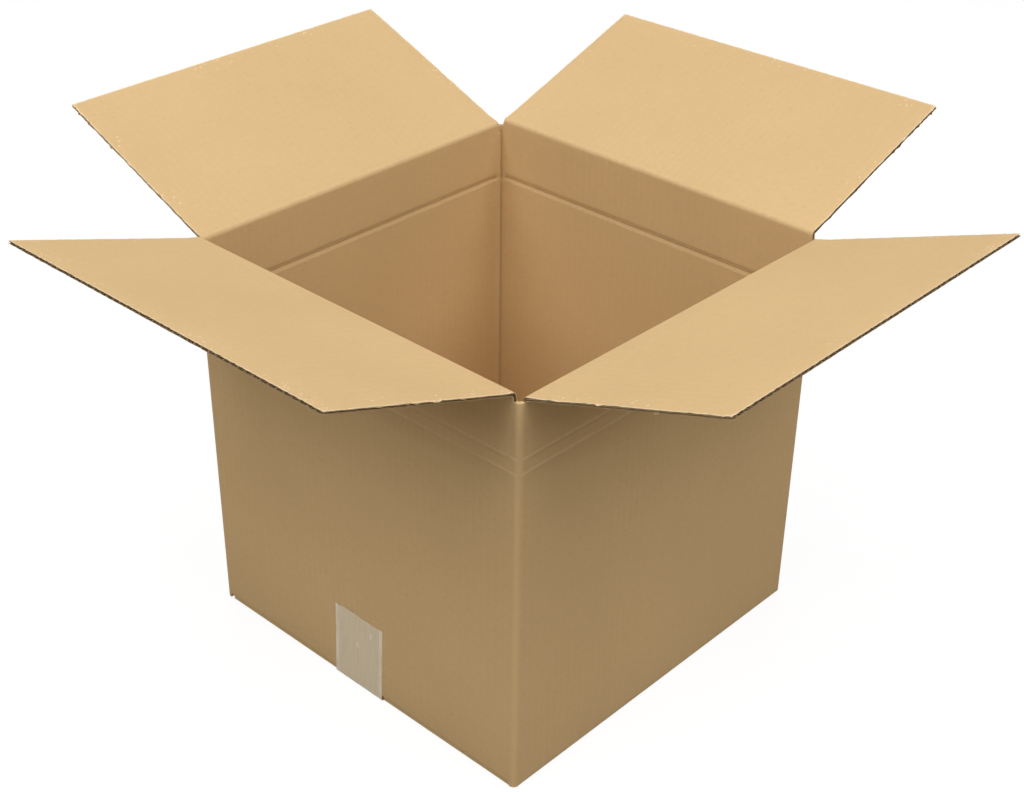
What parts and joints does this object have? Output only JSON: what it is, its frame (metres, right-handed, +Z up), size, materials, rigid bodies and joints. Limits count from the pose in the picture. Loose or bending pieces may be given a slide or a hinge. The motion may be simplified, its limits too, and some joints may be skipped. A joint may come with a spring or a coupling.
{
  "type": "open cardboard box",
  "caption": "Cube-shaped corrugated cardboard shipping box with a taped bottom, a second score below the rim and hinged top flaps standing open.",
  "frame": {"origin": "middle of the carton's base, in the plane that it stands on", "axes": "+Z up; the front-left wall faces -X, the front-right wall -Y, the back-left wall +Y and the back-right wall +X"},
  "size_m": [0.6025, 0.6014, 0.372],
  "materials": {
    "carton_board": "matte unbleached kraft liner",
    "clear_tape": "clear glossy film"
  },
  "bodies": {
    "carton": {"carton_body": "carton_board", "packing_tape": "clear_tape"},
    "flap_front_left": {"top_flap_front_left": "carton_board"},
    "flap_front_right": {"top_flap_front_right": "carton_board"},
    "flap_back_left": {"top_flap_back_left": "carton_board"},
    "flap_back_right": {"top_flap_back_right": "carton_board"}
  },
  "joints": [
    {"name": "fold_front_left", "type": "hinge", "parent": "carton", "child": "flap_front_left", "pos_m": [-0.1555, 0, 0.3135], "axis": [0, 1, 0], "range_deg": [-99.6, 160.4]},
    {"name": "fold_front_right", "type": "hinge", "parent": "carton", "child": "flap_front_right", "pos_m": [0, -0.1555, 0.3102], "axis": [-1, 0, 0], "range_deg": [-98.4, 161.6]},
    {"name": "fold_back_left", "type": "hinge", "parent": "carton", "child": "flap_back_left", "pos_m": [0, 0.1555, 0.3102], "axis": [1, 0, 0], "range_deg": [-102.4, 157.6]},
    {"name": "fold_back_right", "type": "hinge", "parent": "carton", "child": "flap_back_right", "pos_m": [0.1555, 0, 0.3135], "axis": [0, -1, 0], "range_deg": [-100.2, 159.8]}
  ]
}
